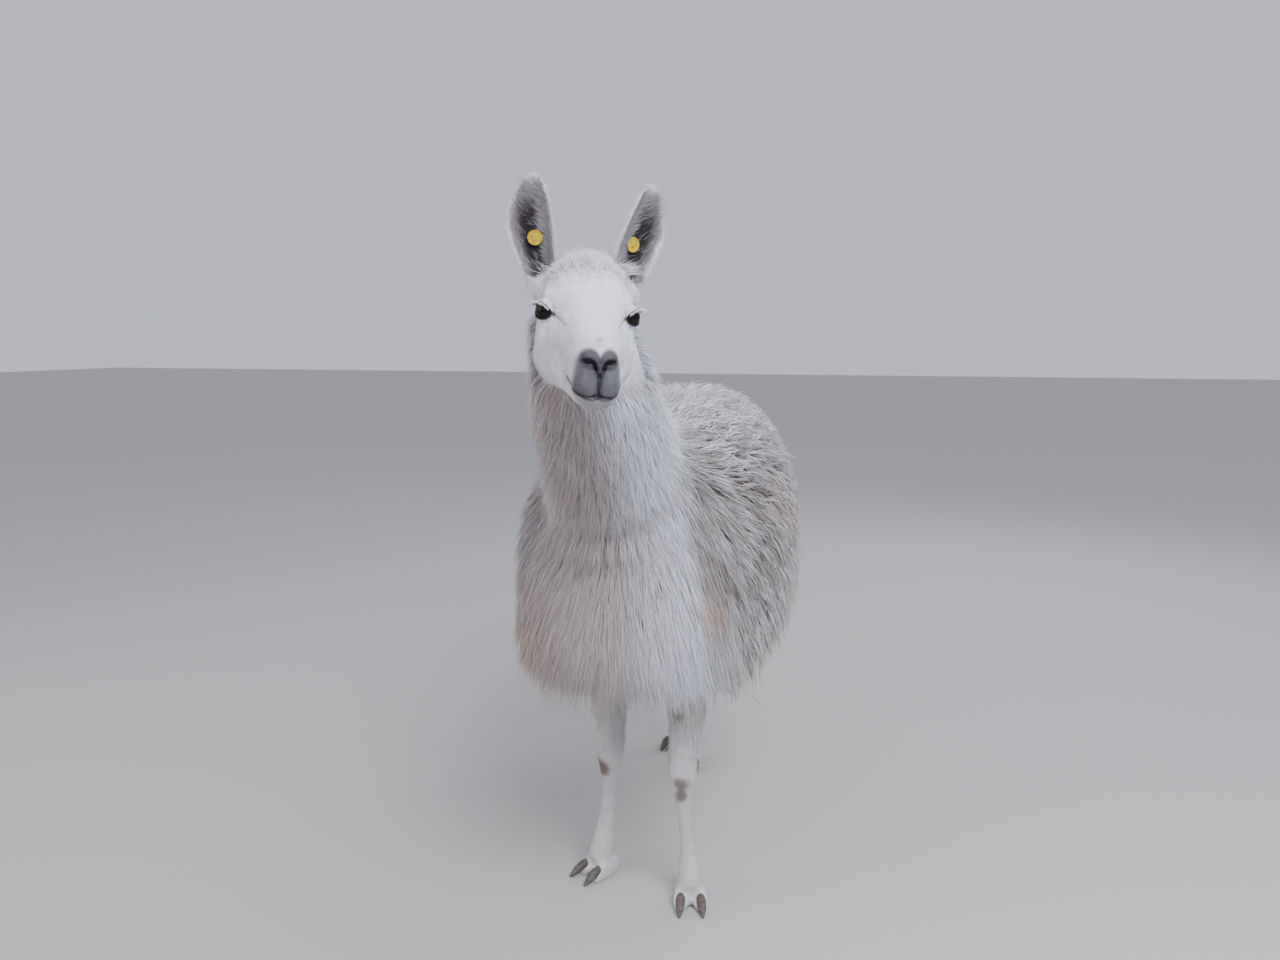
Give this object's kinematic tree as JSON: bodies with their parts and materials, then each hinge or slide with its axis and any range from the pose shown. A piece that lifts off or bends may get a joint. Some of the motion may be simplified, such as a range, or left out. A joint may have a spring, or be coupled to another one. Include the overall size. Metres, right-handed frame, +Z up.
{
  "type": "llama model",
  "caption": "Life-size still model of a standing llama in a long shaggy white and grey coat, head turned a little to its left, with plain round tags in its ears.",
  "frame": {"origin": "on the floor under the middle of the animal's bounding box", "axes": "-Y is where the trunk faces, +X is the animal's own left, +Z is up"},
  "size_m": [0.6458, 1.745, 1.5707],
  "materials": {
    "long_coat": "matte, long loose wool",
    "short_coat": "matte, short close hair",
    "ear_coat": "matte, short hair, dark inside and pale at the rim",
    "eye": "wet gloss",
    "nail": "dull horn",
    "tag": "satin"
  },
  "bodies": {
    "root": {"chest": "long_coat", "barrel": "long_coat", "rump": "long_coat", "neck_lower": "long_coat", "neck_upper": "long_coat", "tail": "long_coat", "head": "short_coat", "ear_left": "ear_coat", "eye_left": "eye", "ear_tag_left": "tag", "ear_right": "ear_coat", "eye_right": "eye", "ear_tag_right": "tag", "foreleg_left_upper": "short_coat", "foreleg_left_lower": "short_coat", "foreleg_left_foot": "short_coat", "foreleg_left_nail_inner": "nail", "foreleg_left_nail_outer": "nail", "foreleg_right_upper": "short_coat", "foreleg_right_lower": "short_coat", "foreleg_right_foot": "short_coat", "foreleg_right_nail_inner": "nail", "foreleg_right_nail_outer": "nail", "hindleg_left_upper": "short_coat", "hindleg_left_lower": "short_coat", "hindleg_left_foot": "short_coat", "hindleg_left_nail_inner": "nail", "hindleg_left_nail_outer": "nail", "hindleg_right_upper": "short_coat", "hindleg_right_lower": "short_coat", "hindleg_right_foot": "short_coat", "hindleg_right_nail_inner": "nail", "hindleg_right_nail_outer": "nail"}
  },
  "joints": []
}
